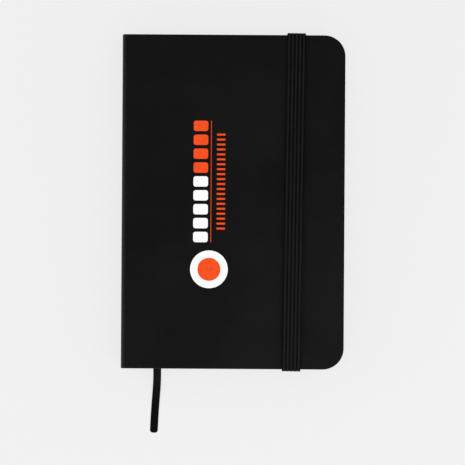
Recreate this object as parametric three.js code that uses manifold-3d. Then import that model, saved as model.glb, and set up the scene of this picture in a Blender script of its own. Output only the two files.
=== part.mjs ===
// A hard-cover pocket notebook: case, sewn page block, ribbon marker and elastic closure.
// Millimetres, +Z up. It lies closed on its back cover, with the head of the pages towards +Y,
// the spine towards -X and the fore-edge towards +X. The origin is on the table, under the
// middle of the covers.

import * as THREE from "three";
import { mergeVertices } from "three/addons/utils/BufferGeometryUtils.js";
import Module from "manifold-3d";

const wasm = await Module();
wasm.setup();

// Case
const coverHeight = 142;
const coverWidth = 94.7;
const coverCornerRadius = 9;
const spineEdgeRadius = 2;
const skinThickness = 0.35;
const boardThickness = 1.6;
const inlayThickness = 1;
const turnInWidth = 14;
const glueGap = 0.05;
const jointGap = 0.3;

// Paper
const endpaperThickness = 0.14;
const sheetThickness = 0.085;
const leavesPerSignature = 16;
const signatureCount = 6;
const squareWidth = 3;
const pageCornerRadius = 7;
const leafGap = 0.08;
const pageBackInset = 3.5;

// Sewing and lining of the spine
const threadThickness = 0.3;
const threadClearance = 0.1;
const sewingHoles = 6;
const sewingEndInset = 8;
const liningThickness = 0.25;
const liningEndInset = 3;

// Ribbon marker
const ribbonWidth = 3.4;
const ribbonThickness = 0.24;
const ribbonClearance = 0.08;
const ribbonSteps = 48;

// Elastic closure
const bandWidth = 7.8;
const bandThickness = 0.8;
const bandClearance = 0.1;
const bandForeEdgeInset = 21.5;
const bandLean = 0.0106;
const bandSlitInset = 8;
const bandTabLength = 12;
const bandJoinHeight = 1.6;

const arcSegments = 12;

// Places that follow from the sizes
const spineX = -coverWidth / 2;
const foreEdgeX = coverWidth / 2;
const headY = coverHeight / 2;
const coverThickness = 2 * skinThickness + boardThickness + 2 * glueGap;
const coverStartX = spineX + spineEdgeRadius + jointGap;
const pageBackX = spineX + pageBackInset;
const pageForeX = foreEdgeX - squareWidth;
const pageHeadY = headY - squareWidth;
const pastedownZ = coverThickness + glueGap;
const flyleafZ = pastedownZ + endpaperThickness + leafGap;
const firstSignatureZ = flyleafZ + endpaperThickness + leafGap;
const signatureThickness = leavesPerSignature * sheetThickness;
const halfBlock = (signatureCount / 2) * (signatureThickness + leafGap) - leafGap;
const ribbonSlot = ribbonThickness + 2 * ribbonClearance;
const closedThickness = 2 * (firstSignatureZ + halfBlock) + ribbonSlot;
const bandX = foreEdgeX - bandForeEdgeInset;

// The ribbon's middle line: glued in at the head of the spine, down between the third and fourth
// signatures, out at the tail and over the cover's edge to the table.
const ribbonRoute = [
  [-41.8, 66, 7.33],
  [-41.6, 58, 7.33],
  [-41.2, 48, 7.33],
  [-40.6, 36, 7.33],
  [-39.8, 22, 7.33],
  [-38.8, 7, 7.33],
  [-37.6, -9, 7.33],
  [-36.3, -25, 7.33],
  [-34.9, -41, 7.33],
  [-33.6, -54, 7.33],
  [-32.55, -64, 7.33],
  [-32.15, -68.5, 7.33],
  [-31.95, -71.2, 6.95],
  [-31.95, -74, 5.7],
  [-32.05, -76.8, 3.9],
  [-32.2, -79.6, 2.1],
  [-32.45, -82.8, 0.8],
  [-32.75, -86.6, 0.25],
  [-33.05, -91.6, 0.2],
  [-33.4, -99, 0.2],
];

const leatherette = new THREE.MeshStandardMaterial({ color: 0x161618, roughness: 0.62, metalness: 0 });
const greyboard = new THREE.MeshStandardMaterial({ color: 0x8f877a, roughness: 0.95, metalness: 0 });
const endpaper = new THREE.MeshStandardMaterial({ color: 0xf0e6cf, roughness: 0.9, metalness: 0 });
const pagePaper = new THREE.MeshStandardMaterial({ color: 0xf5ecd6, roughness: 0.9, metalness: 0 });
const liningCloth = new THREE.MeshStandardMaterial({ color: 0xd9d4c6, roughness: 0.95, metalness: 0 });
const linenThread = new THREE.MeshStandardMaterial({ color: 0xece6d4, roughness: 0.8, metalness: 0 });
const satin = new THREE.MeshStandardMaterial({ color: 0x111114, roughness: 0.4, metalness: 0 });
const wovenElastic = new THREE.MeshStandardMaterial({ color: 0x121215, roughness: 0.85, metalness: 0 });

// Extrusions of a flat outline, drawn in the other two axes.
function extrudeUp(outline, fromZ, toZ) {
  const made = new THREE.ExtrudeGeometry(outline, {
    depth: toZ - fromZ,
    bevelEnabled: false,
    curveSegments: arcSegments,
  });
  return made.translate(0, 0, fromZ);
}

function extrudeAlongSpine(profileXZ, fromY, toY) {
  const made = extrudeUp(profileXZ, 0, toY - fromY);
  return made.rotateX(Math.PI / 2).translate(0, toY, 0);
}

function extrudeAcross(profileYZ, fromX, toX) {
  const made = extrudeUp(profileYZ, 0, toX - fromX);
  const turn = new THREE.Matrix4().set(0, 0, 1, fromX, 1, 0, 0, 0, 0, 1, 0, 0, 0, 0, 0, 1);
  return made.applyMatrix4(turn);
}

function box(from, to) {
  const size = to.map((end, axis) => end - from[axis]);
  const middle = to.map((end, axis) => (end + from[axis]) / 2);
  return new THREE.BoxGeometry(...size).translate(...middle);
}

// A geometry as a solid that can be joined and cut, and back again.
function solidOf(geometry) {
  const bare = geometry.clone();
  bare.deleteAttribute("normal");
  bare.deleteAttribute("uv");
  const merged = mergeVertices(bare, 1e-4);
  return new wasm.Manifold(
    new wasm.Mesh({
      numProp: 3,
      vertProperties: merged.attributes.position.array,
      triVerts: new Uint32Array(merged.index.array),
    }),
  );
}

function geometryOf(solid) {
  const mesh = solid.getMesh();
  const made = new THREE.BufferGeometry();
  made.setAttribute("position", new THREE.BufferAttribute(mesh.vertProperties, 3));
  made.setIndex(new THREE.BufferAttribute(mesh.triVerts, 1));
  made.computeVertexNormals();
  return made;
}

function cut(geometry, tools) {
  const left = tools.reduce((solid, tool) => solid.subtract(solidOf(tool)), solidOf(geometry));
  return geometryOf(left);
}

function join(geometries) {
  return geometryOf(geometries.map(solidOf).reduce((all, next) => all.add(next)));
}

function piece(name, geometry, material) {
  const mesh = new THREE.Mesh(geometry, material);
  mesh.name = name;
  return mesh;
}

// A leaf, board or cover seen from above: square at the spine, rounded at the fore-edge.
function leafOutline(left, right, halfHeight, radius) {
  const outline = new THREE.Shape();
  outline.moveTo(left, -halfHeight);
  outline.lineTo(right - radius, -halfHeight);
  outline.absarc(right - radius, radius - halfHeight, radius, -Math.PI / 2, 0);
  outline.absarc(right - radius, halfHeight - radius, radius, 0, Math.PI / 2);
  outline.lineTo(left, halfHeight);
  return outline;
}

function coverOutline(inset, left) {
  return leafOutline(left, foreEdgeX - inset, headY - inset, coverCornerRadius - inset);
}

function pageOutline() {
  return leafOutline(pageBackX, pageForeX, pageHeadY, pageCornerRadius);
}

// The elastic leans a little across the covers, so its pieces and their pockets are sheared alike.
function leaned(geometry) {
  const shear = new THREE.Matrix4().makeShear(0, 0, bandLean, 0, 0, 0);
  return geometry.applyMatrix4(shear).translate(bandX, 0, 0);
}

// One end of the elastic, in Y and Z: round the cover's edge, along the back in its channel,
// up through the slit and flat under the pastedown. Slack widens it into the pocket it lies in.
function bandEndProfile(slack) {
  const outerY = headY + bandClearance + bandThickness;
  const channelTop = glueGap + bandThickness;
  const slitY = headY - bandSlitInset;
  const profile = new THREE.Shape();
  profile.moveTo(outerY + slack, bandJoinHeight - jointGap / 2 + slack);
  profile.lineTo(outerY + slack, channelTop);
  profile.absarc(outerY - bandThickness, channelTop, bandThickness + slack, 0, -Math.PI / 2, true);
  profile.lineTo(slitY - slack, glueGap - slack);
  profile.lineTo(slitY - slack, coverThickness - bandThickness - slack);
  profile.lineTo(slitY - bandTabLength - slack, coverThickness - bandThickness - slack);
  profile.lineTo(slitY - bandTabLength - slack, coverThickness + slack);
  profile.lineTo(slitY + bandThickness + slack, coverThickness + slack);
  profile.lineTo(slitY + bandThickness + slack, channelTop + slack);
  profile.lineTo(outerY - bandThickness - slack, channelTop + slack);
  profile.lineTo(outerY - bandThickness - slack, bandJoinHeight - jointGap / 2 + slack);
  return profile;
}

function bandEnd(side, slack) {
  const half = bandWidth / 2 + slack;
  const made = extrudeAcross(bandEndProfile(slack), -half, half);
  if (side < 0) made.rotateZ(Math.PI);
  return leaned(made);
}

// The part of the elastic that comes off: up the head, over the front cover and down the tail.
function bandLoop() {
  const inner = bandClearance;
  const outer = bandClearance + bandThickness;
  const endZ = bandJoinHeight + jointGap / 2;
  const profile = new THREE.Shape();
  profile.moveTo(headY + outer, endZ);
  profile.absarc(headY, closedThickness, outer, 0, Math.PI / 2);
  profile.absarc(-headY, closedThickness, outer, Math.PI / 2, Math.PI);
  profile.lineTo(-headY - outer, endZ);
  profile.lineTo(-headY - inner, endZ);
  profile.absarc(-headY, closedThickness, inner, Math.PI, Math.PI / 2, true);
  profile.absarc(headY, closedThickness, inner, Math.PI / 2, 0, true);
  profile.lineTo(headY + inner, endZ);
  return leaned(extrudeAcross(profile, -bandWidth / 2, bandWidth / 2));
}

// The covering of one cover: outer face, three edges and the turn-ins over the board's inner face.
function coverWrap(pockets) {
  const outer = extrudeUp(coverOutline(0, coverStartX), 0, coverThickness);
  const openLeft = coverStartX - 1;
  const boardRoom = extrudeUp(
    coverOutline(skinThickness, openLeft),
    skinThickness,
    coverThickness - skinThickness,
  );
  const windowY = headY - turnInWidth;
  const inside = box(
    [openLeft, -windowY, coverThickness / 2],
    [foreEdgeX - turnInWidth, windowY, coverThickness + 1],
  );
  return cut(outer, [boardRoom, inside, ...pockets]);
}

function coverBoard(pockets) {
  const margin = skinThickness + glueGap;
  const board = extrudeUp(
    coverOutline(margin, coverStartX + glueGap),
    margin,
    margin + boardThickness,
  );
  return cut(board, pockets);
}

// The covering of the spine: its flat back, both rounded edges and the turn-ins at head and tail.
function spineWrap() {
  const r = spineEdgeRadius;
  const profile = new THREE.Shape();
  profile.moveTo(spineX + r, 0);
  profile.lineTo(spineX + r, skinThickness);
  profile.absarc(spineX + r, r, r - skinThickness, -Math.PI / 2, -Math.PI, true);
  profile.absarc(spineX + r, closedThickness - r, r - skinThickness, Math.PI, Math.PI / 2, true);
  profile.lineTo(spineX + r, closedThickness);
  profile.absarc(spineX + r, closedThickness - r, r, Math.PI / 2, Math.PI);
  profile.absarc(spineX + r, r, r, Math.PI, (3 * Math.PI) / 2);
  const skin = extrudeAlongSpine(profile, -headY, headY);
  const turnInEndX = spineX + skinThickness + 2 * glueGap + inlayThickness;
  const turnIns = [-1, 1].map((side) => {
    const edges = [side * headY, side * (headY - skinThickness)].sort((a, b) => a - b);
    return box(
      [spineX + skinThickness / 2, edges[0], r],
      [turnInEndX, edges[1], closedThickness - r],
    );
  });
  return join([skin, ...turnIns]);
}

function spineInlay() {
  const halfHeight = headY - skinThickness - glueGap;
  const nearX = spineX + skinThickness + glueGap;
  return box(
    [nearX, -halfHeight, spineEdgeRadius],
    [nearX + inlayThickness, halfHeight, closedThickness - spineEdgeRadius],
  );
}

// The running stitch of one signature: in and out of its fold through the sewing holes, with
// every other span along the outside. Slack widens it into the holes it passes through.
function sewing(slack) {
  const half = threadThickness / 2 + slack;
  const outsideX = pageBackX - glueGap - threadThickness / 2;
  const insideX = pageBackX + signatureThickness / 2 + threadThickness;
  const middleZ = signatureThickness / 2;
  const firstY = -pageHeadY + sewingEndInset;
  const pitch = (2 * (pageHeadY - sewingEndInset)) / (sewingHoles - 1);
  const turns = [];
  for (let hole = 0; hole < sewingHoles; hole += 1) {
    const ends = hole % 2 === 0 ? [insideX, outsideX] : [outsideX, insideX];
    turns.push(...ends.map((x) => new THREE.Vector2(x, firstY + hole * pitch)));
  }
  return extrudeUp(strokeOutline(turns, half), middleZ - half, middleZ + half);
}

// The outline of a line of right-angled turns drawn with a square pen.
function strokeOutline(turns, half) {
  const headings = turns.slice(1).map((turn, index) => turn.clone().sub(turns[index]).normalize());
  const edge = (side) =>
    turns.map((turn, index) => {
      const before = headings[index - 1] ?? headings[0];
      const after = headings[index] ?? headings.at(-1);
      const offset = new THREE.Vector2(-before.y - after.y, before.x + after.x).multiplyScalar(side);
      if (index === 0) offset.divideScalar(2).sub(after);
      if (index === turns.length - 1) offset.divideScalar(2).add(before);
      return turn.clone().addScaledVector(offset, half);
    });
  return new THREE.Shape([...edge(1), ...edge(-1).reverse()]);
}

function spineLining() {
  const nearX = pageBackX - 2 * glueGap - threadThickness;
  const halfHeight = pageHeadY - liningEndInset;
  return box([nearX - liningThickness, -halfHeight, 0], [nearX, halfHeight, signatureThickness]);
}

function ribbon() {
  const halfWidth = ribbonWidth / 2;
  const halfThickness = ribbonThickness / 2;
  const shoulder = ribbonThickness / 4;
  const section = new THREE.Shape();
  section.moveTo(-halfThickness, shoulder - halfWidth);
  section.lineTo(-shoulder, -halfWidth);
  section.lineTo(shoulder, -halfWidth);
  section.lineTo(halfThickness, shoulder - halfWidth);
  section.lineTo(halfThickness, halfWidth - shoulder);
  section.lineTo(shoulder, halfWidth);
  section.lineTo(-shoulder, halfWidth);
  section.lineTo(-halfThickness, halfWidth - shoulder);
  const route = new THREE.CatmullRomCurve3(ribbonRoute.map((point) => new THREE.Vector3(...point)));
  return new THREE.ExtrudeGeometry(section, {
    steps: ribbonSteps,
    extrudePath: route,
    bevelEnabled: false,
  });
}

const notebook = new THREE.Group();

// Back cover, with the channels, slits and tab recesses for the elastic's two ends
const bandPockets = [1, -1].map((side) => bandEnd(side, bandClearance));
const backCover = new THREE.Group();
backCover.add(piece("back_cover_wrap", coverWrap(bandPockets), leatherette));
backCover.add(piece("back_board", coverBoard(bandPockets), greyboard));
notebook.add(backCover);

// Front cover: the same build, mirrored on top of the pages
const frontCover = new THREE.Group();
frontCover.scale.z = -1;
frontCover.position.z = closedThickness;
frontCover.add(piece("front_cover_wrap", coverWrap([]), leatherette));
frontCover.add(piece("front_board", coverBoard([]), greyboard));
notebook.add(frontCover);

notebook.add(piece("spine_wrap", spineWrap(), leatherette));
notebook.add(piece("spine_inlay", spineInlay(), greyboard));

// Endpapers: one leaf glued down inside each cover and one free leaf next to it
const endpaperLeaf = extrudeUp(pageOutline(), 0, endpaperThickness);
const endpaperLevels = {
  back_pastedown: pastedownZ,
  back_flyleaf: flyleafZ,
  front_flyleaf: closedThickness - flyleafZ - endpaperThickness,
  front_pastedown: closedThickness - pastedownZ - endpaperThickness,
};
for (const [name, level] of Object.entries(endpaperLevels)) {
  const leaf = piece(name, endpaperLeaf, endpaper);
  leaf.position.z = level;
  notebook.add(leaf);
}

// Page block: folded signatures, each with its sewing and its width of the spine lining
const pageBlock = new THREE.Group();
pageBlock.position.z = firstSignatureZ;
const signatureBody = cut(extrudeUp(pageOutline(), 0, signatureThickness), [sewing(threadClearance)]);
const signatureThread = sewing(0);
const signatureLining = spineLining();
for (let index = 0; index < signatureCount; index += 1) {
  const signature = new THREE.Group();
  const aboveRibbon = index < signatureCount / 2 ? 0 : ribbonSlot - leafGap;
  signature.position.z = index * (signatureThickness + leafGap) + aboveRibbon;
  signature.add(piece(`signature_${index + 1}`, signatureBody, pagePaper));
  signature.add(piece(`sewing_thread_${index + 1}`, signatureThread, linenThread));
  signature.add(piece(`spine_lining_${index + 1}`, signatureLining, liningCloth));
  pageBlock.add(signature);
}
notebook.add(pageBlock);

notebook.add(piece("ribbon_marker", ribbon(), satin));

const closure = new THREE.Group();
closure.add(piece("elastic_band", bandLoop(), wovenElastic));
closure.add(piece("elastic_head_end", bandEnd(1, 0), wovenElastic));
closure.add(piece("elastic_tail_end", bandEnd(-1, 0), wovenElastic));
notebook.add(closure);

export default notebook;
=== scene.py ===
"""A pocket notebook with a hard leatherette case, sewn pages, a ribbon marker and a flat elastic band.

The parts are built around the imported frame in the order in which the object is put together.
Everything is in metres, in the frame's own axes: +Z out of the front cover, +Y towards the head.
"""

import math
import random

import bmesh
import bpy
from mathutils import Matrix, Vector


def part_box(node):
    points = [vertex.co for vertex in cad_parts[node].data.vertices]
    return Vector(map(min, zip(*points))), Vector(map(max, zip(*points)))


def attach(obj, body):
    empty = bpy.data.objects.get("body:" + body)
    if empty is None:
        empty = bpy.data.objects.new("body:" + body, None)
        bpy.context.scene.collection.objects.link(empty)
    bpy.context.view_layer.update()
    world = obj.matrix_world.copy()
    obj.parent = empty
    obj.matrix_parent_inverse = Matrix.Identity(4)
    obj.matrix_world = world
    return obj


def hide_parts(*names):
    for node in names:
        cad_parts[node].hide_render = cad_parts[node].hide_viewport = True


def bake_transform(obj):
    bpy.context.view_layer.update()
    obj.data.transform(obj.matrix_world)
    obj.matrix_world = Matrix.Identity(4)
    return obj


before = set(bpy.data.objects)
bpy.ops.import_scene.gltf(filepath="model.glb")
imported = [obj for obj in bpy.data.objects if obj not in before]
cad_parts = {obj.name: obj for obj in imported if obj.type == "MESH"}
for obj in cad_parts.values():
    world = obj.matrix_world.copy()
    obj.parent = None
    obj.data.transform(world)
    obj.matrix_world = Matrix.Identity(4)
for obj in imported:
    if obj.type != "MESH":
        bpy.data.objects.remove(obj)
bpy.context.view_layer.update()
MM = 0.001

# The camera looks straight down on the front cover through a long lens, so that the covers keep
# their square outline. It is set a little below the middle of the covers, which leaves room for
# the ribbon's tail, and is turned by less than half a degree.
cover_low, cover_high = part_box("front_cover_wrap")
spine_low, spine_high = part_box("spine_wrap")
COVER_MIDDLE = Vector(((spine_low.x + cover_high.x) / 2, 0, cover_high.z))
VIEW_WIDTH = 197.5 * MM
CAMERA_HEIGHT = 1.6
CAMERA_OFFSET = Vector((-0.18 * MM, -13.0 * MM, CAMERA_HEIGHT))
CAMERA_ROLL = math.radians(0.36)
SENSOR_WIDTH = 36

bpy.ops.object.camera_add(location=COVER_MIDDLE + CAMERA_OFFSET, rotation=(0, 0, CAMERA_ROLL))
camera = bpy.context.object
camera.name = "camera"
camera.data.sensor_width = SENSOR_WIDTH
camera.data.lens = SENSOR_WIDTH * CAMERA_HEIGHT / VIEW_WIDTH
camera.data.clip_end = 10
bpy.context.scene.camera = camera

# Ribbon marker: 3.4 mm double-faced satin, woven from black polyester. It is glued in at the head of
# the spine, lies between the third and fourth signatures, and falls over the tail edge of the back
# cover to the table, where its heat-cut end is a little rounded.
RIBBON_WIDTH = 3.4 * MM
RIBBON_THICKNESS = 0.24 * MM
RIBBON_ROUTE = [
    (-41.8, 66, 7.33),
    (-41.6, 58, 7.33),
    (-41.2, 48, 7.33),
    (-40.6, 36, 7.33),
    (-39.8, 22, 7.33),
    (-38.8, 7, 7.33),
    (-37.6, -9, 7.33),
    (-36.3, -25, 7.33),
    (-34.9, -41, 7.33),
    (-33.6, -54, 7.33),
    (-32.55, -64, 7.33),
    (-32.15, -68.5, 7.33),
    (-31.95, -71.2, 6.95),
    (-31.95, -74, 5.7),
    (-32.05, -76.8, 3.9),
    (-32.2, -79.6, 2.1),
    (-32.45, -82.8, 0.8),
    (-32.75, -86.6, 0.25),
    (-33.05, -91.6, 0.2),
    (-33.4, -99, 0.2),
]
ROUTE_SAMPLES = 8
END_ROUNDING = 1.2 * MM
END_SAMPLES = (0.3, 0.5, 0.7, 0.84, 0.93)
# The section, in shares of the half width and the half thickness: thick selvedges, thinner satin.
SECTION_ACROSS = [-1, -0.94, -0.6, -0.2, 0.2, 0.6, 0.94, 1]
SECTION_HEIGHT = [0.25, 1, 0.72, 0.8, 0.8, 0.72, 1, 0.25]
FLOAT_LENGTH = 1.11 * MM
FLOAT_PITCH = 0.154 * MM


def linear(hex_colour):
    """A colour given as sRGB hex digits, as linear red, green, blue and alpha."""
    channels = [int(hex_colour[i : i + 2], 16) / 255 for i in (0, 2, 4)]
    return [c / 12.92 if c <= 0.04045 else ((c + 0.055) / 1.055) ** 2.4 for c in channels] + [1.0]


def add_node(tree, kind, inputs=None, ramp=(), **settings):
    """Adds a shader node with its settings, its colour stops and its inputs: values or links."""
    made = tree.nodes.new("ShaderNode" + kind)
    for name, value in settings.items():
        setattr(made, name, value)
    for number, (position, colour) in enumerate(ramp):
        made.color_ramp.elements[number].position = position
        made.color_ramp.elements[number].color = colour
    for name, value in (inputs or {}).items():
        if isinstance(value, bpy.types.NodeSocket):
            tree.links.new(value, made.inputs[name])
        else:
            made.inputs[name].default_value = value
    return made


def new_material(name, roughness, **sockets):
    """A material with one principled shader; returns it with its node tree and that shader."""
    material = bpy.data.materials.new(name)
    material.use_nodes = True
    tree = material.node_tree
    shader = tree.nodes["Principled BSDF"]
    shader.inputs["Roughness"].default_value = roughness
    for socket, value in sockets.items():
        shader.inputs[socket.replace("_", " ")].default_value = value
    return material, tree, shader


def smooth_path(points, samples):
    """A smooth line through the points, with a few samples to each stretch."""
    ends = [points[0] * 2 - points[1], *points, points[-1] * 2 - points[-2]]
    line = []
    for a, b, c, d in zip(ends, ends[1:], ends[2:], ends[3:]):
        for step in range(samples):
            t = step / samples
            bend = (c - a) * t + (a * 2 - b * 5 + c * 4 - d) * t**2 + (b * 3 - a - c * 3 + d) * t**3
            line.append(b + bend / 2)
    return [*line, points[-1]]


ribbon_path = smooth_path([Vector(point) * MM for point in RIBBON_ROUTE], ROUTE_SAMPLES)
ribbon_path[-1:-1] = [ribbon_path[-2].lerp(ribbon_path[-1], share) for share in END_SAMPLES]


def ribbon_mesh(path):
    """The strip as rings across the path: flat faces, round selvedges and a rounded end."""
    half_width = RIBBON_WIDTH / 2
    half_thickness = RIBBON_THICKNESS / 2
    section = list(zip(SECTION_ACROSS, SECTION_HEIGHT))
    mesh = bmesh.new()
    uv = mesh.loops.layers.uv.new("weave")
    rings = []
    run = 0.0
    for index, point in enumerate(path):
        ahead = path[min(index + 1, len(path) - 1)] - path[max(index - 1, 0)]
        side = Vector((ahead.y, -ahead.x, 0)).normalized()
        up = side.cross(ahead).normalized()
        to_end = (path[-1] - point).length
        round_off = min(1, to_end / END_ROUNDING)
        width = half_width - END_ROUNDING * (1 - math.sqrt(1 - (1 - round_off) ** 2))
        top = [point + side * width * a + up * half_thickness * h for a, h in section]
        under = [point + side * width * a - up * half_thickness * h for a, h in section]
        if index:
            run += (point - path[index - 1]).length
        rings.append(([mesh.verts.new(p) for p in [*top, *reversed(under)]], run))
    corners = [*SECTION_ACROSS, *reversed(SECTION_ACROSS)]
    for (near, near_run), (far, far_run) in zip(rings, rings[1:]):
        for index in range(len(corners)):
            after = (index + 1) % len(corners)
            face = mesh.faces.new((near[index], near[after], far[after], far[index]))
            places = [(index, near_run), (after, near_run), (after, far_run), (index, far_run)]
            for loop, (corner, along) in zip(face.loops, places):
                loop[uv].uv = (along, corners[corner] * half_width)
    mesh.faces.new(rings[0][0])
    mesh.faces.new(list(reversed(rings[-1][0])))
    bmesh.ops.recalc_face_normals(mesh, faces=mesh.faces)
    made = bpy.data.meshes.new("ribbon_marker_satin")
    mesh.to_mesh(made)
    mesh.free()
    return made


ribbon = bpy.data.objects.new("ribbon_marker_satin", ribbon_mesh(ribbon_path))
bpy.context.scene.collection.objects.link(ribbon)


def satin_material():
    """Woven polyester satin: long floats along the ribbon give a soft streak of gloss."""
    material, tree, shader = new_material("black_polyester_satin", 0.4, Specular_IOR_Level=0.25)
    weave = add_node(tree, "UVMap", uv_map="weave")
    scale = (1 / FLOAT_LENGTH, 1 / FLOAT_PITCH, 1)
    floats = add_node(tree, "Mapping", {"Vector": weave.outputs[0], "Scale": scale})
    threads = add_node(tree, "TexNoise", {"Vector": floats.outputs[0], "Scale": 1.0, "Detail": 3.0})
    shades = [(0.3, linear("030304")), (0.75, linear("0b0b0e"))]
    shade = add_node(tree, "ValToRGB", {"Fac": threads.outputs["Fac"]}, ramp=shades)
    tree.links.new(shade.outputs[0], shader.inputs["Base Color"])
    relief = {"Height": threads.outputs["Fac"], "Distance": 0.03 * MM, "Strength": 0.4}
    tree.links.new(add_node(tree, "Bump", relief).outputs[0], shader.inputs["Normal"])
    return material


ribbon.data.materials.append(satin_material())
for face in ribbon.data.polygons:
    face.use_smooth = True
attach(ribbon, "back_cover")
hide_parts("ribbon_marker")
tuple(ribbon_path[0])

# Covering: one sheet of matte black polyurethane leatherette on cloth, glued over the boards and the
# spine, and turned in on the inside. It is made here in two halves that meet along the middle of
# the spine, each with its own thin joint beside the spine.
SKIN = 0.35 * MM
COVER_CORNER_RADIUS = 9.0 * MM
SPINE_EDGE_RADIUS = 2.0 * MM
JOINT_THICKNESS = 0.8 * MM
SPINE_THICKNESS = 1.8 * MM
TURN_IN = 14.0 * MM
FOLD_RADIUS = 0.38 * MM
SPINE_STEP = 0.3 * MM
# Where each end of the elastic goes in: a channel to a slit, and a pocket behind the slit.
CHANNEL_DEPTH = 0.92 * MM
CHANNEL_SLACK = 0.07 * MM
SLIT_INSET = 8.0 * MM
SLIT_WIDTH = 0.8 * MM
SLIT_MARGIN = 1.0 * MM
TAB_INSET = 13.0 * MM
POCKET_DEPTH = 0.9 * MM
# The grain is drawn about twice as coarse as a real fine grain, so that it shows at arm's length.
GRAIN_WIDTH = 0.714 * MM
PORE_WIDTH = 0.385 * MM
CLOUD_WIDTH = 35.7 * MM
SMALL = 0.01 * MM

cover_depth = cover_high.z - cover_low.z
spine_middle_z = (spine_low.z + spine_high.z) / 2


def pick(piece, kind, test):
    """Selects, in edit mode, only the piece's vertices, edges or faces that pass the test."""
    bpy.ops.mesh.select_mode(type=kind)
    bpy.ops.mesh.select_all(action="DESELECT")
    mesh = bmesh.from_edit_mesh(piece.data)
    for element in {"VERT": mesh.verts, "EDGE": mesh.edges, "FACE": mesh.faces}[kind]:
        element.select_set(bool(test(element)))
    mesh.select_flush_mode()
    bmesh.update_edit_mesh(piece.data)


def close(a, b):
    """Whether two lengths are as good as equal."""
    return abs(a - b) < SMALL


def extrude(x=0.0, y=0.0, z=0.0):
    """Extrudes what is selected in edit mode, by a move."""
    bpy.ops.mesh.extrude_region_move(TRANSFORM_OT_translate={"value": (x, y, z)})


def face_outwards():
    """Turns all the faces of the mesh in edit mode outwards."""
    bpy.ops.mesh.select_all(action="SELECT")
    bpy.ops.mesh.normals_make_consistent(inside=False)


def select_only(*pieces):
    """Selects these pieces and no others, and makes the first one active."""
    bpy.ops.object.select_all(action="DESELECT")
    for piece in pieces:
        piece.select_set(True)
    bpy.context.view_layer.objects.active = pieces[0]


def settle(piece):
    """Puts the piece's place, turn and scale into its mesh."""
    select_only(piece)
    bpy.ops.object.transform_apply(location=True, rotation=True, scale=True)


def new_box(name, low, high):
    """Adds a cube primitive between two corners and makes it the active object."""
    bpy.ops.object.select_all(action="DESELECT")
    size = [b - a for a, b in zip(low, high)]
    middle = [(a + b) / 2 for a, b in zip(low, high)]
    bpy.ops.mesh.primitive_cube_add(size=1, location=middle, scale=size)
    made = bpy.context.object
    made.name = made.data.name = name
    settle(made)
    return made


def modify(piece, kind, **settings):
    """Adds a modifier to the piece and applies it."""
    select_only(piece)
    added = piece.modifiers.new(kind.lower(), kind)
    for name, value in settings.items():
        setattr(added, name, value)
    bpy.ops.object.modifier_apply(modifier=added.name)


def soften(piece):
    """Smooth shading across bends, with the broad flat faces kept flat."""
    select_only(piece)
    bpy.ops.object.shade_smooth_by_angle(angle=math.radians(35))
    modify(piece, "WEIGHTED_NORMAL", keep_sharp=True)


def is_fold(edge):
    """Whether two faces meet here in a sharp outer edge."""
    return edge.is_manifold and edge.is_convex and edge.calc_face_angle() > math.radians(60)


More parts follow.
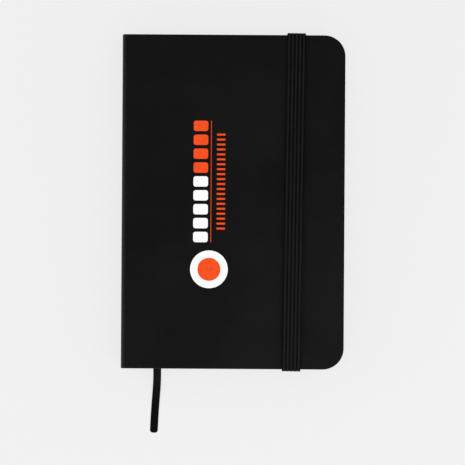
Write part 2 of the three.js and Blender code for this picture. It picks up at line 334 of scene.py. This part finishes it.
def cover_skin(name, recesses):
    """The covering of the front half: board, joint and half the spine, outer face upwards."""
    left = cover_low.x
    top = cover_high.z

    def is_corner(edge):
        start, end = (vertex.co for vertex in edge.verts)
        return close(start.x, cover_high.x) and close(end.x, cover_high.x) and close(start.y, end.y)

    skin = new_box(name, cover_low, cover_high)
    bpy.ops.object.mode_set(mode="EDIT")
    pick(skin, "EDGE", is_corner)
    bpy.ops.mesh.bevel(offset=COVER_CORNER_RADIUS, segments=16, affect="EDGES")
    bpy.ops.object.mode_set(mode="OBJECT")
    for low, high in recesses:
        cutter = new_box("recess_cutter", low, high)
        modify(skin, "BOOLEAN", object=cutter, operation="DIFFERENCE", solver="EXACT")
        bpy.data.objects.remove(cutter)

    # The joint and half the spine grow out of the board's spine edge, open at the far end.
    bpy.ops.object.mode_set(mode="EDIT")
    pick(skin, "FACE", lambda f: close(f.calc_center_median().x, left))
    bpy.ops.mesh.delete(type="ONLY_FACE")
    pick(skin, "EDGE", lambda e: e.is_boundary)
    extrude()
    thinner = JOINT_THICKNESS / cover_depth
    bpy.ops.transform.resize(value=(1, 1, thinner), center_override=(left, 0, top))
    extrude(x=spine_low.x + SPINE_EDGE_RADIUS - left)
    pivot = (spine_low.x + SPINE_EDGE_RADIUS, 0, top - SPINE_EDGE_RADIUS)
    bpy.ops.mesh.spin(steps=20, angle=math.pi / 2, center=pivot, axis=(0, 1, 0))
    extrude(z=-SPINE_STEP)
    wider = SPINE_THICKNESS / JOINT_THICKNESS
    bpy.ops.transform.resize(value=(wider, 1, 1), center_override=(spine_low.x, 0, 0))
    extrude(z=spine_middle_z - (top - SPINE_EDGE_RADIUS - SPINE_STEP))
    bpy.ops.mesh.select_all(action="SELECT")
    bpy.ops.mesh.remove_doubles(threshold=SMALL / 2)
    face_outwards()

    # Every outer edge is a fold of the skin round the board, but the elastic's slit is a clean cut.
    slit_y = cover_high.y - SLIT_INSET

    def is_outer_fold(edge):
        middle = (edge.verts[0].co + edge.verts[1].co) / 2
        in_slit = abs(abs(middle.y) - slit_y) < TAB_INSET - SLIT_INSET + SLIT_MARGIN
        return is_fold(edge) and not (in_slit and edge.calc_length() < TAB_INSET)

    pick(skin, "EDGE", is_outer_fold)
    bpy.ops.mesh.bevel(offset=FOLD_RADIUS, segments=4, affect="EDGES", clamp_overlap=False)

    # The inner face keeps only the turn-ins.
    window_x = cover_high.x - TURN_IN
    window_y = cover_high.y - TURN_IN

    def is_inner(face):
        return face.normal.z < -0.99 and close(face.calc_center_median().z, cover_low.z)

    def is_bare(face):
        middle = face.calc_center_median()
        return is_inner(face) and middle.x < window_x and abs(middle.y) < window_y

    cuts = [
        ((window_x, 0, 0), (1, 0, 0)),
        ((0, window_y, 0), (0, 1, 0)),
        ((0, -window_y, 0), (0, 1, 0)),
    ]
    for place, normal in cuts:
        pick(skin, "FACE", is_inner)
        bpy.ops.mesh.bisect(plane_co=place, plane_no=normal)
    pick(skin, "FACE", is_bare)
    bpy.ops.mesh.delete(type="FACE")
    bpy.ops.mesh.select_all(action="SELECT")
    bpy.ops.mesh.remove_doubles(threshold=SMALL)
    bpy.ops.mesh.dissolve_degenerate(threshold=SMALL / 10)
    bpy.ops.object.mode_set(mode="OBJECT")
    return skin


def leatherette_material():
    """Coagulated polyurethane with a fine embossed grain: matte, with a soft dark sheen."""
    material, tree, shader = new_material("matte_black_pu_leatherette", 0.55, Specular_IOR_Level=0.4)
    place = add_node(tree, "TexCoord").outputs["Object"]
    cells = {"Vector": place, "Scale": 1 / GRAIN_WIDTH}
    grain = add_node(tree, "TexVoronoi", cells, feature="SMOOTH_F1").outputs["Distance"]
    pores = add_node(tree, "TexNoise", {"Vector": place, "Scale": 1 / PORE_WIDTH, "Detail": 2.0})
    height = add_node(tree, "Math", {0: grain, 1: pores.outputs["Fac"]}, operation="ADD")
    relief = {"Height": height.outputs[0], "Distance": 0.14 * MM, "Strength": 0.7}
    tree.links.new(add_node(tree, "Bump", relief).outputs[0], shader.inputs["Normal"])
    clouds = add_node(tree, "TexNoise", {"Vector": place, "Scale": 1 / CLOUD_WIDTH, "Detail": 4.0})
    tints = [(0.35, linear("050307")), (0.7, linear("0b080e"))]
    tint = add_node(tree, "ValToRGB", {"Fac": clouds.outputs["Fac"]}, ramp=tints)
    tree.links.new(tint.outputs[0], shader.inputs["Base Color"])
    gloss = add_node(tree, "MapRange", {"Value": clouds.outputs["Fac"], "To Min": 0.5, "To Max": 0.62})
    tree.links.new(gloss.outputs[0], shader.inputs["Roughness"])
    return material


def band_recesses(low, high, side):
    """Channel, slit and pocket for one end of the elastic, on the front half before it turns over."""
    slit = cover_high.y - SLIT_INSET - CHANNEL_SLACK
    slit_end = slit + SLIT_WIDTH + 2 * CHANNEL_SLACK
    outer = cover_high.z
    inner = cover_low.z
    beyond = cover_depth
    depths = [
        (slit, cover_high.y + beyond, outer - CHANNEL_DEPTH, outer + beyond),
        (slit, slit_end, inner - beyond, outer + beyond),
        (cover_high.y - TAB_INSET - CHANNEL_SLACK, slit_end, inner - beyond, inner + POCKET_DEPTH),
    ]
    for near, far, bottom, top in depths:
        back, front = sorted((side * near, side * far))
        yield (low.x, back, bottom), (high.x, front, top)


head_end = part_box("elastic_head_end")
tail_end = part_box("elastic_tail_end")
recesses = [*band_recesses(*head_end, 1), *band_recesses(*tail_end, -1)]
front_skin = cover_skin("front_covering", [])
back_skin = cover_skin("back_covering", recesses)
back_skin.scale.z = -1
back_skin.location.z = 2 * spine_middle_z
settle(back_skin)
bpy.ops.object.mode_set(mode="EDIT")
face_outwards()
bpy.ops.object.mode_set(mode="OBJECT")

leatherette = leatherette_material()
for skin in (front_skin, back_skin):
    modify(skin, "SOLIDIFY", thickness=SKIN, offset=-1, use_even_offset=True)
    soften(skin)
    skin.data.materials.append(leatherette)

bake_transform(front_skin)
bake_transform(back_skin)
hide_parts("front_cover_wrap", "spine_wrap")
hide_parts("back_cover_wrap")

# Elastic closure: a flat woven band with five round ribs that hold rubber threads. Each end lies in
# a channel pressed into the back cover, goes in through a slit and is glued inside. It sits a touch
# askew.
BAND_WIDTH = 7.8 * MM
BAND_THICKNESS = 0.8 * MM
BAND_MIDDLE_X = 25.85 * MM
BAND_LEAN = math.radians(0.607)
BAND_RIBS = 5
RIB_HEIGHTS = [0.62, 0.88, 0.97, 1.0, 0.97, 0.88]
SLIT_BEND = 0.6 * MM
EDGE_BEND = 0.8 * MM
SIDE_STEPS = 28
TAB_START = 0.4 * MM
KNIT_PITCH = 0.9 * MM
FUZZ_WIDTH = 0.286 * MM

band_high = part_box("elastic_band")[1]
band_front_z = band_high.z - BAND_THICKNESS / 2
band_side_y = band_high.y - BAND_THICKNESS / 2
band_channel_z = head_end[0].z + BAND_THICKNESS / 2
band_tab_z = 2.0 * MM
band_slit_y = cover_high.y - SLIT_INSET + SLIT_WIDTH / 2
band_tab_y = cover_high.y - TAB_INSET + CHANNEL_SLACK


def elastic_strip():
    """Half the band, ribbed, is led from its glued end to the middle of the front, and mirrored."""
    half = BAND_WIDTH / 2
    thick = BAND_THICKNESS / 2
    start_y = band_tab_y + TAB_START
    strip = new_box(
        "elastic_closure",
        (-half, band_tab_y, band_tab_z - thick),
        (half, start_y, band_tab_z + thick),
    )
    columns = BAND_RIBS * len(RIB_HEIGHTS)
    column_width = BAND_WIDTH / columns
    bpy.ops.object.mode_set(mode="EDIT")
    for column in range(1, columns):
        bpy.ops.mesh.select_all(action="SELECT")
        bpy.ops.mesh.bisect(plane_co=(column * column_width - half, 0, 0), plane_no=(1, 0, 0))

    def rib_height(vertex):
        return RIB_HEIGHTS[round((vertex.co.x + half) / column_width) % len(RIB_HEIGHTS)]

    for height in sorted(set(RIB_HEIGHTS)):
        pick(strip, "VERT", lambda v: rib_height(v) == height)
        bpy.ops.transform.resize(value=(1, 1, height), center_override=(0, 0, band_tab_z))
    pick(strip, "FACE", lambda f: f.normal.y > 0.99)
    bpy.ops.mesh.delete(type="ONLY_FACE")
    pick(strip, "EDGE", lambda e: e.is_wire)
    bpy.ops.mesh.delete(type="EDGE")
    pick(strip, "EDGE", lambda e: e.is_boundary)

    def bend(y, z, quarter):
        bpy.ops.mesh.spin(steps=8, angle=quarter * math.pi / 2, center=(0, y, z), axis=(1, 0, 0))

    extrude(y=band_slit_y - SLIT_BEND - start_y)
    bend(band_slit_y - SLIT_BEND, band_tab_z - SLIT_BEND, 1)
    extrude(z=band_channel_z - band_tab_z + 2 * SLIT_BEND)
    bend(band_slit_y + SLIT_BEND, band_channel_z + SLIT_BEND, -1)
    extrude(y=band_side_y - EDGE_BEND - band_slit_y - SLIT_BEND)
    bend(band_side_y - EDGE_BEND, band_channel_z + EDGE_BEND, -1)
    for _ in range(SIDE_STEPS):
        extrude(z=(band_front_z - band_channel_z - 2 * EDGE_BEND) / SIDE_STEPS)
    bend(band_side_y - EDGE_BEND, band_front_z - EDGE_BEND, -1)
    extrude(y=-(band_side_y - EDGE_BEND))
    bpy.ops.object.mode_set(mode="OBJECT")
    modify(strip, "MIRROR", use_axis=(False, True, False), merge_threshold=SMALL)
    bpy.ops.object.mode_set(mode="EDIT")
    bpy.ops.mesh.select_all(action="SELECT")
    bpy.ops.mesh.remove_doubles(threshold=SMALL / 4)
    face_outwards()
    bpy.ops.object.mode_set(mode="OBJECT")
    return strip


def knit_coordinates(strip):
    """A UV map that counts ribs across the band and stitches along it."""
    weave = strip.data.uv_layers.new(name="knit")
    turn_z = (band_front_z + band_channel_z) / 2
    for loop in strip.data.loops:
        x, y, z = strip.data.vertices[loop.vertex_index].co
        along = abs(y) + band_front_z - z
        if z < turn_z:
            along = 2 * band_side_y - abs(y) + band_front_z - z
        weave.data[loop.index].uv = (x / BAND_WIDTH * BAND_RIBS, along / KNIT_PITCH)


def elastic_material():
    """Polyester yarn knitted over rubber: slanting stitches on each rib, with shade painted black
    between the ribs and along the band's edges.
    """
    material, tree, shader = new_material("black_woven_elastic", 0.68, Specular_IOR_Level=0.28)
    place = add_node(tree, "SeparateXYZ", {0: add_node(tree, "UVMap", uv_map="knit").outputs[0]})
    shifted = add_node(tree, "Math", {0: place.outputs[0], 1: 100.5}, operation="ADD")
    rib = add_node(tree, "Math", {0: shifted.outputs[0], 1: 0.5}, operation="PINGPONG")
    lean = {0: rib.outputs[0], 1: 1.4, 2: place.outputs[1]}
    slant = add_node(tree, "Math", lean, operation="MULTIPLY_ADD")
    angle = add_node(tree, "Math", {0: slant.outputs[0], 1: math.tau}, operation="MULTIPLY")
    stitch = add_node(tree, "Math", {0: angle.outputs[0]}, operation="SINE")
    surface = add_node(tree, "TexCoord").outputs["Object"]
    fuzz = add_node(tree, "TexNoise", {"Vector": surface, "Scale": 1 / FUZZ_WIDTH, "Detail": 3.0})
    yarn = {0: stitch.outputs[0], 1: 0.5, 2: fuzz.outputs["Fac"]}
    height = add_node(tree, "Math", yarn, operation="MULTIPLY_ADD")
    relief = {"Height": height.outputs[0], "Distance": 0.06 * MM, "Strength": 0.6}
    tree.links.new(add_node(tree, "Bump", relief).outputs[0], shader.inputs["Normal"])
    # Painted shade: the colour goes black in the grooves between the ribs and along both edges of the
    # band, where shadow falls, and lighter on the rib crowns.
    shades = [(0.2, linear("000000")), (0.4, linear("151518"))]
    shade = add_node(tree, "ValToRGB", {"Fac": rib.outputs[0]}, ramp=shades)
    tree.links.new(shade.outputs[0], shader.inputs["Base Color"])
    return material


elastic = elastic_strip()
knit_coordinates(elastic)
elastic.location.x = BAND_MIDDLE_X
elastic.rotation_euler.z = -BAND_LEAN
settle(elastic)
bpy.ops.object.shade_smooth_by_angle(angle=math.radians(80))
elastic.data.materials.append(elastic_material())
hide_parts("elastic_band", "elastic_head_end", "elastic_tail_end")
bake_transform(elastic)

# Pages: six signatures of eight folded sheets, 80 g/m2 ivory offset paper, one inside the other and
# trimmed together at the fore-edge. Each is sewn through its fold, and the corners are cut round.
SHEETS = 8
PAPER = 0.075 * MM
PAGE_CORNER_RADIUS = 7.0 * MM
RULING_PITCH = 6.0 * MM
RULE_SHARE = 0.018
RULED_MIDDLE = -3.0 * MM
RULED_REACH = 57.5 * MM
PULP_WIDTH = 8.33 * MM
FIBRE_LENGTH = 1.11 * MM
# The streaks on the edges are nearly four leaves thick, so that they show from arm's length.
STREAK_LENGTH = 111 * MM
STREAK_THICKNESS = 0.278 * MM
TRIM_SPREAD = 0.08 * MM
SIGNATURE_BODIES = ["back_cover"] * 3 + ["signature_4", "signature_5", "signature_6"]


def folded_sheet(order, low, high, trim):
    """One sheet of two leaves, from its lower leaf round the fold to its upper leaf."""
    height = high.z - low.z
    middle_z = (low.z + high.z) / 2
    radius = height / 2 - (order + 0.5) * height / (2 * SHEETS)
    fold_x = low.x + height / 2
    fore_x = high.x - trim
    bpy.ops.object.select_all(action="DESELECT")
    bpy.ops.mesh.primitive_plane_add(size=1, location=((fold_x + fore_x) / 2, 0, middle_z - radius))
    sheet = bpy.context.object
    sheet.scale = (fore_x - fold_x, high.y - low.y, 1)
    settle(sheet)
    bpy.ops.object.mode_set(mode="EDIT")
    pick(sheet, "EDGE", lambda e: all(close(v.co.x, fold_x) for v in e.verts))
    bpy.ops.mesh.spin(steps=8, angle=-math.pi, center=(fold_x, 0, middle_z), axis=(0, 1, 0))
    extrude(x=fore_x - fold_x)
    pick(sheet, "VERT", lambda v: close(v.co.x, fore_x))
    bpy.ops.mesh.bevel(offset=PAGE_CORNER_RADIUS, segments=10, affect="VERTICES")
    face_outwards()
    bpy.ops.object.mode_set(mode="OBJECT")
    return sheet


def paper_material():
    """Uncoated ivory paper: soft and even, with faint grey rules that stop short of the edges."""
    material, tree, shader = new_material("ivory_offset_paper", 0.82)
    place = add_node(tree, "TexCoord").outputs["Object"]
    clouds = {"Vector": place, "Scale": 1 / PULP_WIDTH, "Detail": 6.0, "Roughness": 0.7}
    pulp = add_node(tree, "TexNoise", clouds)
    tints = [(0.3, linear("ede5cf")), (0.7, linear("f3ecd9"))]
    tint = add_node(tree, "ValToRGB", {"Fac": pulp.outputs["Fac"]}, ramp=tints)
    y = add_node(tree, "SeparateXYZ", {0: place}).outputs["Y"]
    counted = add_node(tree, "Math", {0: y, 1: 1 / RULING_PITCH}, operation="MULTIPLY")
    step = add_node(tree, "Math", {0: counted.outputs[0], 1: 0.5}, operation="PINGPONG")
    line = add_node(tree, "Math", {0: step.outputs[0], 1: RULE_SHARE}, operation="LESS_THAN")
    ruled = add_node(tree, "Math", {0: y, 1: RULED_MIDDLE, 2: RULED_REACH}, operation="COMPARE")
    ink = add_node(tree, "Math", {0: line.outputs[0], 1: ruled.outputs[0]}, operation="MULTIPLY")
    layers = {0: ink.outputs[0], 6: tint.outputs[0], 7: linear("b4b3b0")}
    colour = add_node(tree, "Mix", layers, data_type="RGBA")
    tree.links.new(colour.outputs[2], shader.inputs["Base Color"])
    fibres = add_node(tree, "TexNoise", {"Vector": place, "Scale": 1 / FIBRE_LENGTH, "Detail": 4.0})
    relief = {"Height": fibres.outputs["Fac"], "Distance": 0.02 * MM, "Strength": 0.3}
    tree.links.new(add_node(tree, "Bump", relief).outputs[0], shader.inputs["Normal"])
    return material


def trimmed_edge_material():
    """The guillotined edges of the same paper: fine streaks of painted light and shade, lighter where
    leaves stand a little proud.
    """
    material, tree, shader = new_material("guillotined_paper_edge", 0.88)
    place = add_node(tree, "TexCoord").outputs["Object"]
    scale = (1 / STREAK_LENGTH, 1 / STREAK_LENGTH, 1 / STREAK_THICKNESS)
    layers = add_node(tree, "Mapping", {"Vector": place, "Scale": scale})
    streaks = add_node(tree, "TexNoise", {"Vector": layers.outputs[0], "Scale": 1.0, "Detail": 2.0})
    # Painted light and shade: the streak noise colours the edge lighter and darker in fine bands, as
    # leaves that stand proud catch the light; the bump uses the same streaks.
    tints = [(0.36, linear("cfc6ad")), (0.6, linear("efe7d2"))]
    tint = add_node(tree, "ValToRGB", {"Fac": streaks.outputs["Fac"]}, ramp=tints)
    tree.links.new(tint.outputs[0], shader.inputs["Base Color"])
    relief = {"Height": streaks.outputs["Fac"], "Distance": 0.08 * MM, "Strength": 0.5}
    tree.links.new(add_node(tree, "Bump", relief).outputs[0], shader.inputs["Normal"])
    return material


trimming = random.Random(7)
first_low, first_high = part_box("signature_1")
sheets = [
    folded_sheet(order, first_low, first_high, trimming.uniform(0, TRIM_SPREAD))
    for order in range(SHEETS)
]
select_only(*sheets)
bpy.ops.object.join()
gathered = bpy.context.object
modify(gathered, "SOLIDIFY", thickness=PAPER, offset=0)
bpy.ops.object.shade_smooth_by_angle(angle=math.radians(40))
gathered.data.materials.append(paper_material())
gathered.data.materials.append(trimmed_edge_material())
for face in gathered.data.polygons:
    face.material_index = 1 if abs(face.normal.z) < 0.5 else 0
for number, body in enumerate(SIGNATURE_BODIES, start=1):
    signature = gathered
    if number > 1:
        signature = bpy.data.objects.new("signature", gathered.data.copy())
        bpy.context.scene.collection.objects.link(signature)
        signature.location.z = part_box(f"signature_{number}")[0].z - first_low.z
        settle(signature)
    signature.name = signature.data.name = f"folded_sheets_{number}"
    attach(signature, body)
    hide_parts(f"signature_{number}")

# Endpapers: 120 g/m2 ivory paper. One leaf of each pair is pasted to its board over the turn-ins,
# and the other is the free flyleaf. Their shapes are the frame's own.
ENDPAPER_PULP_WIDTH = 6.25 * MM
TOOTH_WIDTH = 0.833 * MM


def paint(material, *nodes):
    """Gives the frame's own pieces a finish in place of the plain one they come with."""
    for name in nodes:
        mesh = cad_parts[name].data
        mesh.materials.clear()
        mesh.materials.append(material)


def endpaper_material():
    """Heavier uncoated paper: a warmer ivory, with a faint cloud of fibres."""
    material, tree, shader = new_material("ivory_endpaper", 0.8)
    place = add_node(tree, "TexCoord").outputs["Object"]
    clouds = {"Vector": place, "Scale": 1 / ENDPAPER_PULP_WIDTH, "Detail": 6.0, "Roughness": 0.65}
    pulp = add_node(tree, "TexNoise", clouds)
    tints = [(0.3, linear("e3dac1")), (0.7, linear("eee5cd"))]
    tint = add_node(tree, "ValToRGB", {"Fac": pulp.outputs["Fac"]}, ramp=tints)
    tree.links.new(tint.outputs[0], shader.inputs["Base Color"])
    tooth = add_node(tree, "TexNoise", {"Vector": place, "Scale": 1 / TOOTH_WIDTH, "Detail": 3.0})
    relief = {"Height": tooth.outputs["Fac"], "Distance": 0.03 * MM, "Strength": 0.4}
    tree.links.new(add_node(tree, "Bump", relief).outputs[0], shader.inputs["Normal"])
    return material


paint(endpaper_material(), "front_pastedown", "back_pastedown", "front_flyleaf", "back_flyleaf")

# Sewing: 0.3 mm waxed linen thread, once through each fold, in and out at six holes. Behind it, a
# strip of starched mull, an open cotton gauze, is glued on each signature's back.
MULL_PITCH = 1.0 * MM
THREAD_TWIST = 0.5 * MM


def woven_material(name, pitch, dark, light, relief):
    """Plain weave or twist: two sets of threads that cross, with the glue dark between them."""
    material, tree, shader = new_material(name, 0.85)
    place = add_node(tree, "SeparateXYZ", {0: add_node(tree, "TexCoord").outputs["Object"]})
    sets = []
    for axis in ("Y", "Z"):
        along = {0: place.outputs[axis], 1: math.tau / pitch}
        turns = add_node(tree, "Math", along, operation="MULTIPLY")
        sets.append(add_node(tree, "Math", {0: turns.outputs[0]}, operation="SINE").outputs[0])
    weave = add_node(tree, "Math", {0: sets[0], 1: sets[1]}, operation="MAXIMUM")
    tints = [(0, linear(dark)), (0.8, linear(light))]
    tint = add_node(tree, "ValToRGB", {"Fac": weave.outputs[0]}, ramp=tints)
    tree.links.new(tint.outputs[0], shader.inputs["Base Color"])
    bump = add_node(tree, "Bump", {"Height": weave.outputs[0], "Distance": relief, "Strength": 0.6})
    tree.links.new(bump.outputs[0], shader.inputs["Normal"])
    return material


def numbered(stem):
    """The names of the six nodes that share a stem, one for each signature."""
    return [f"{stem}_{number}" for number in range(1, len(SIGNATURE_BODIES) + 1)]


mull = woven_material("starched_cotton_mull", MULL_PITCH, "a89f86", "e9e2cf", 0.08 * MM)
paint(mull, *numbered("spine_lining"))
thread = woven_material("waxed_linen_thread", THREAD_TWIST, "cfc5a8", "f0e9d6", 0.04 * MM)
paint(thread, *numbered("sewing_thread"))

# Boards: 1.6 mm greyboard made of recycled fibre, with a narrow stiffener of thinner card in the
# spine, its edges eased so that they don't cut the covering. The covering hides them.
STIFFENER_THICKNESS = 0.9 * MM
STIFFENER_GAP = 0.05 * MM
STIFFENER_EASING = 0.12 * MM
STIFFENER_INSET = 2.75 * MM
FLECK_WIDTH = 1.43 * MM


def greyboard_material():
    """Pressed waste paper: grey-brown, flecked with darker and paler fibres."""
    material, tree, shader = new_material("recycled_greyboard", 0.9)
    place = add_node(tree, "TexCoord").outputs["Object"]
    waste = {"Vector": place, "Scale": 1 / FLECK_WIDTH, "Detail": 5.0, "Roughness": 0.7}
    flecks = add_node(tree, "TexNoise", waste)
    tints = [(0.3, linear("6f695f")), (0.7, linear("9c968a"))]
    tint = add_node(tree, "ValToRGB", {"Fac": flecks.outputs["Fac"]}, ramp=tints)
    tree.links.new(tint.outputs[0], shader.inputs["Base Color"])
    relief = {"Height": flecks.outputs["Fac"], "Distance": 0.05 * MM, "Strength": 0.5}
    tree.links.new(add_node(tree, "Bump", relief).outputs[0], shader.inputs["Normal"])
    return material


greyboard = greyboard_material()
paint(greyboard, "front_board", "back_board")
inlay_low, inlay_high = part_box("spine_inlay")
stiffener_x = spine_low.x + SKIN + STIFFENER_GAP
stiffener = new_box(
    "spine_stiffener",
    (stiffener_x, inlay_low.y, spine_low.z + STIFFENER_INSET),
    (stiffener_x + STIFFENER_THICKNESS, inlay_high.y, spine_high.z - STIFFENER_INSET),
)
modify(stiffener, "BEVEL", width=STIFFENER_EASING, segments=2)
soften(stiffener)
stiffener.data.materials.append(greyboard)
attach(stiffener, "spine")
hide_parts("spine_inlay")

# Cover print: a plain ornament in two screen-printed inks, read from the side: a column of bars
# that goes from white to orange, a fine rule and a row of ticks beside it, and a disc at the foot.
INK_SUNK = 0.005 * MM
INK_RAISED = 0.03 * MM
BAR_WIDTH = 6.2 * MM
BAR_LENGTH = 4.4 * MM
BAR_PITCH = 5.9 * MM
BAR_CORNER = 1.0 * MM
BAR_FIRST = Vector((-13.8 * MM, -15.0 * MM, 0))
WHITE_BARS = 5
ORANGE_BARS = 4
RULE_X = -9.4 * MM
RULE_WIDTH = 0.25 * MM
TICK_X = -5.2 * MM
TICK_WIDTH = 3.6 * MM
TICK_LENGTH = 0.8 * MM
TICK_PITCH = 2.1 * MM
TICKS = 20
DISC_CENTRE = Vector((-10.1 * MM, -28.7 * MM, 0))
DISC_RADIUS = 8.0 * MM
DISC_SPOT_RADIUS = 4.9 * MM
FILM_WIDTH = 2.0 * MM

ink_low = cover_high.z - INK_SUNK
ink_high = cover_high.z + INK_RAISED


def ink_material(name, dark, light):
    """Screen-print ink: an even, slightly glossy film that lets a little of the grain through."""
    material, tree, shader = new_material(name, 0.5, Specular_IOR_Level=0.2)
    place = add_node(tree, "TexCoord").outputs["Object"]
    film = add_node(tree, "TexNoise", {"Vector": place, "Scale": 1 / FILM_WIDTH, "Detail": 4.0})
    tints = [(0.25, linear(dark)), (0.55, linear(light))]
    tint = add_node(tree, "ValToRGB", {"Fac": film.outputs["Fac"]}, ramp=tints)
    tree.links.new(tint.outputs[0], shader.inputs["Base Color"])
    cells = {"Vector": place, "Scale": 1 / GRAIN_WIDTH}
    grain = add_node(tree, "TexVoronoi", cells, feature="SMOOTH_F1").outputs["Distance"]
    relief = {"Height": grain, "Distance": 0.02 * MM, "Strength": 0.3}
    tree.links.new(add_node(tree, "Bump", relief).outputs[0], shader.inputs["Normal"])
    return material


def printed_bar(centre, width, length, corner):
    """A thin block of ink with round corners."""
    bar = new_box(
        "ink",
        (centre.x - width / 2, centre.y - length / 2, ink_low),
        (centre.x + width / 2, centre.y + length / 2, ink_high),
    )
    bpy.ops.object.mode_set(mode="EDIT")
    pick(bar, "EDGE", lambda e: abs(e.verts[0].co.z - e.verts[1].co.z) > INK_RAISED / 2)
    bpy.ops.mesh.bevel(offset=corner, segments=6, affect="EDGES")
    bpy.ops.object.mode_set(mode="OBJECT")
    return bar


def printed_disc(centre, radius, top):
    """A round patch of ink."""
    bpy.ops.object.select_all(action="DESELECT")
    place = (centre.x, centre.y, ink_low)
    bpy.ops.mesh.primitive_circle_add(vertices=96, radius=radius, fill_type="NGON", location=place)
    disc = bpy.context.object
    settle(disc)
    bpy.ops.object.mode_set(mode="EDIT")
    bpy.ops.mesh.select_all(action="SELECT")
    extrude(z=top - ink_low)
    face_outwards()
    bpy.ops.object.mode_set(mode="OBJECT")
    return disc


def print_layer(name, patches, ink):
    """Joins patches of one ink into one piece, which lies on the front cover."""
    select_only(*patches)
    if len(patches) > 1:
        bpy.ops.object.join()
    layer = patches[0]
    layer.name = layer.data.name = name
    layer.data.materials.append(ink)
    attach(layer, "front_cover")


def bars(first, count):
    """A run of the column's bars, counted from its foot."""
    for number in range(first, first + count):
        centre = BAR_FIRST + Vector((0, number * BAR_PITCH, 0))
        yield printed_bar(centre, BAR_WIDTH, BAR_LENGTH, BAR_CORNER)


white_ink = ink_material("white_screen_ink", "ebebea", "f5f5f4")
orange_ink = ink_material("orange_screen_ink", "dc4207", "ee4a08")
column_low = BAR_FIRST.y - BAR_LENGTH / 2
column_high = column_low + BAR_LENGTH + (WHITE_BARS + ORANGE_BARS - 1) * BAR_PITCH
rule_centre = Vector((RULE_X, (column_low + column_high) / 2, 0))
tick_low = rule_centre.y - (TICKS - 1) / 2 * TICK_PITCH
tick_centres = [Vector((TICK_X, tick_low + number * TICK_PITCH, 0)) for number in range(TICKS)]
ticks = [printed_bar(centre, TICK_WIDTH, TICK_LENGTH, TICK_LENGTH / 4) for centre in tick_centres]
rule = printed_bar(rule_centre, RULE_WIDTH, column_high - column_low, RULE_WIDTH / 4)
print_layer("cover_print_white_bars", list(bars(0, WHITE_BARS)), white_ink)
print_layer("cover_print_orange_bars", list(bars(WHITE_BARS, ORANGE_BARS)), orange_ink)
print_layer("cover_print_rule", [rule], orange_ink)
print_layer("cover_print_ticks", ticks, orange_ink)
print_layer("cover_print_disc", [printed_disc(DISC_CENTRE, DISC_RADIUS, ink_high)], white_ink)
spot = printed_disc(DISC_CENTRE, DISC_SPOT_RADIUS, ink_high + INK_RAISED / 2)
print_layer("cover_print_disc_spot", [spot], orange_ink)

# Studio: a pale matt board that glows a little, so that it hardly shows a shadow, under an even sky
# that is dark in gloss, as in a light tent with a dark roof. A soft lamp at the lower right gives
# the covering its faint fall-off, and one low on the left draws a line of light along the spine.
FLOOR_SIZE = 6.0
FLOOR_GAP = 0.03 * MM
FLOOR_DIFFUSE = 0.1
FLOOR_GLOW = 0.762
SKY = 0.98
ROOF_LOW = (0.22, 0.22, 0.23, 1)
ROOF_HIGH = (0.015, 0.015, 0.017, 1)
LAMPS = [
    ("soft_lamp", (0.2, -0.31, 0.24), 0.28, 0.45),
    ("spine_lamp", (-0.45, -0.08, 0.26), 0.35, 0.42),
]

bpy.ops.object.select_all(action="DESELECT")
bpy.ops.mesh.primitive_plane_add(size=FLOOR_SIZE, location=(0, 0, -FLOOR_GAP))
floor = bpy.context.object
floor.name = "floor"
floor_material, *_ = new_material(
    "matte_white_board",
    0.9,
    Base_Color=(FLOOR_DIFFUSE, FLOOR_DIFFUSE, FLOOR_DIFFUSE, 1),
    Specular_IOR_Level=0.0,
    Emission_Color=(1, 1, 1, 1),
    Emission_Strength=FLOOR_GLOW,
)
floor.data.materials.append(floor_material)

world = bpy.data.worlds.new("studio")
bpy.context.scene.world = world
world.use_nodes = True
sky = world.node_tree
direction = add_node(sky, "SeparateXYZ", {0: add_node(sky, "TexCoord").outputs["Generated"]})
shades = [(0.1, ROOF_LOW), (0.75, ROOF_HIGH)]
roof = add_node(sky, "ValToRGB", {"Fac": direction.outputs["Z"]}, ramp=shades)
in_gloss = add_node(sky, "LightPath").outputs["Is Glossy Ray"]
views = {0: in_gloss, 6: (SKY, SKY, SKY, 1), 7: roof.outputs[0]}
seen = add_node(sky, "Mix", views, data_type="RGBA")
sky.links.new(seen.outputs[2], sky.nodes["Background"].inputs["Color"])

for name, place, size, power in LAMPS:
    bpy.ops.object.light_add(type="AREA", location=place)
    lamp = bpy.context.object
    lamp.name = name
    lamp.rotation_euler = Vector(place).to_track_quat("Z", "Y").to_euler()
    lamp.data.size = size
    lamp.data.energy = power
    lamp.visible_camera = False
bpy.context.scene.view_settings.view_transform = "Standard"
